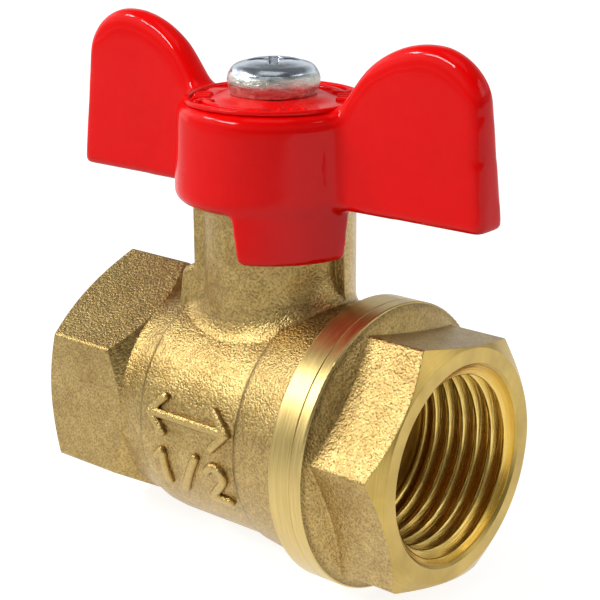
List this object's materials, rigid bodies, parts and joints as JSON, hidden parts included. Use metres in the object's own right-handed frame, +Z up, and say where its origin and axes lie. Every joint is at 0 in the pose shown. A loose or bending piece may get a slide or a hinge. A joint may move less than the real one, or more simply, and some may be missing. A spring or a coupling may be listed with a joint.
{
  "type": "ball valve",
  "caption": "Brass ball valve for half-inch pipe with a red butterfly handle, quarter turn, female threads at each end.",
  "frame": {"origin": "on the pipe's axis where the inlet port's full-size wall begins, 0.3 mm inside the inlet face", "axes": "+X along the pipe from inlet to outlet, +Z up along the stem's axis, +Y across"},
  "size_m": [0.0554, 0.0308, 0.0577],
  "materials": {
    "forged_brass": "sandblasted, turned bright on the rim, faces and threads",
    "turned_brass": "turned",
    "chromed_ball": "polished chrome on brass",
    "ptfe": "white PTFE",
    "nbr": "moulded",
    "red_paint": "glossy red paint on die-cast aluminium",
    "zinc_plate": "bright zinc plate, rough on the side of the head"
  },
  "bodies": {
    "root": {"valve_body": "forged_brass", "end_cap": "forged_brass", "seat_ring_inlet": "ptfe", "seat_ring_outlet": "ptfe", "stem_washer": "ptfe", "stem_packing": "ptfe", "gland_nut": "turned_brass"},
    "handle_group": {"handle": "red_paint", "handle_screw": "zinc_plate", "stem": "turned_brass", "stem_o_ring_lower": "nbr", "stem_o_ring_upper": "nbr"},
    "ball_group": {"ball": "chromed_ball"}
  },
  "joints": [
    {"name": "handle_turn", "type": "hinge", "parent": "root", "child": "handle_group", "pos_m": [0.023, 0, 0], "axis": [0, 0, -1], "range_deg": [0, 90]},
    {"name": "ball_turn", "type": "hinge", "parent": "root", "child": "ball_group", "pos_m": [0.023, 0, 0], "axis": [0, 0, -1], "range_deg": [0, 90]}
  ],
  "couplings": [
    {"joint": "ball_turn", "follows": "handle_turn", "ratio": 1}
  ]
}
